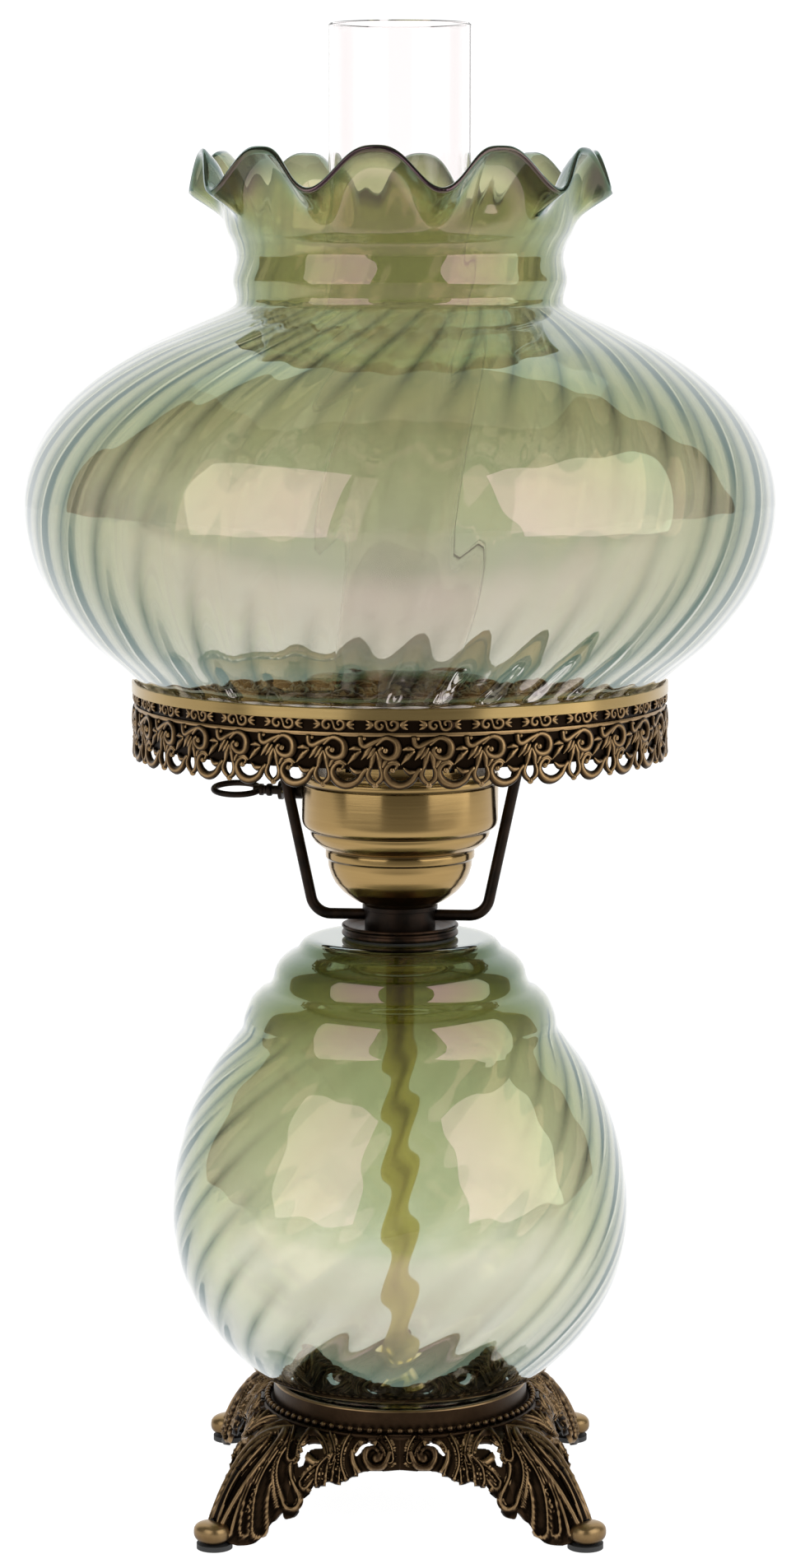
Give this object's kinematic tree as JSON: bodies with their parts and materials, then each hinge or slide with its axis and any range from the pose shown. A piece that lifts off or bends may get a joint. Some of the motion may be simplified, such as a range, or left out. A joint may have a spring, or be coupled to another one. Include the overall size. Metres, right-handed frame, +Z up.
{
  "type": "oil lamp",
  "caption": "Tall hurricane table lamp in the style of an oil lamp: glass font on a pierced cast base, keyed burner socket, clear chimney and ribbed glass shade on a filigree ring.",
  "frame": {"origin": "on the lamp's upright axis, at the level of the surface it stands on", "axes": "+Z up; -Y is the front; the switch key points to -X, 13 degrees towards +Y"},
  "size_m": [0.3624, 0.3624, 0.7208],
  "materials": {
    "antique_cast": "antiqued cast brass, dark recesses, rubbed edges",
    "pad": "matt",
    "gasket": "matt",
    "steel": "zinc plated",
    "black_plastic": "moulded",
    "font_glass": "smoky green lustre",
    "shade_glass": "smoky green lustre",
    "clear_glass": "clear",
    "bulb_glass": "clear",
    "bright_brass": "polished",
    "satin_brass": "brushed antique",
    "bronze": "oil rubbed bronze",
    "filigree": "antiqued stamped brass",
    "socket_brass": "plain",
    "paper": "fibre sleeve",
    "phenolic": "moulded",
    "aluminium": "plain",
    "black_glass": "gloss",
    "solder": "soft solder",
    "tungsten": "glass stem and wires"
  },
  "bodies": {
    "stand": {"arm_left": "bronze", "arm_right": "bronze", "arm_screws": "bronze", "base_casting": "antique_cast", "base_washer": "steel", "bottom_nut": "steel", "burner_cup": "satin_brass", "cap_gasket": "gasket", "centre_contact": "socket_brass", "centre_tube": "bright_brass", "chimney_holder": "satin_brass", "cord_bushing": "black_plastic", "cup_lock_nut": "steel", "cup_washer": "steel", "filigree_band": "filigree", "filigree_rivet": "filigree", "foot_pads": "pad", "globe_glass": "font_glass", "key_bushing": "bronze", "lock_washer": "steel", "neck_hub": "bronze", "ring_spider": "bronze", "screw_shell": "aluminium", "seat_gasket": "gasket", "shade_ring": "bright_brass", "socket_body": "phenolic", "socket_cap": "socket_brass", "socket_insulator": "paper", "socket_set_screw": "steel", "socket_shell": "socket_brass", "terminal_screws": "socket_brass", "threaded_pipe": "steel", "tube_seat": "bright_brass", "vase_cap": "bronze"},
    "switch": {"switch_rotor": "phenolic", "switch_spindle": "socket_brass", "switch_key": "bronze"},
    "chimney": {"chimney_glass": "clear_glass"},
    "shade": {"shade_glass": "shade_glass"},
    "bulb": {"bulb_glass": "bulb_glass", "bulb_base_shell": "aluminium", "bulb_insulator": "black_glass", "bulb_contact": "solder", "bulb_mount": "tungsten"}
  },
  "joints": [
    {"name": "key_turn", "type": "hinge", "parent": "stand", "child": "switch", "pos_m": [0, 0, 0.351], "axis": [-0.9744, 0.225, 0], "continuous": true},
    {"name": "shade_lift", "type": "slide", "parent": "stand", "child": "shade", "axis": [0, 0, 1], "range_m": [0, 0.33]},
    {"name": "chimney_lift", "type": "slide", "parent": "stand", "child": "chimney", "axis": [0, 0, 1], "range_m": [0, 0.3]},
    {"name": "bulb_lift", "type": "slide", "parent": "stand", "child": "bulb", "axis": [0, 0, 1], "range_m": [0, 0.03]}
  ]
}
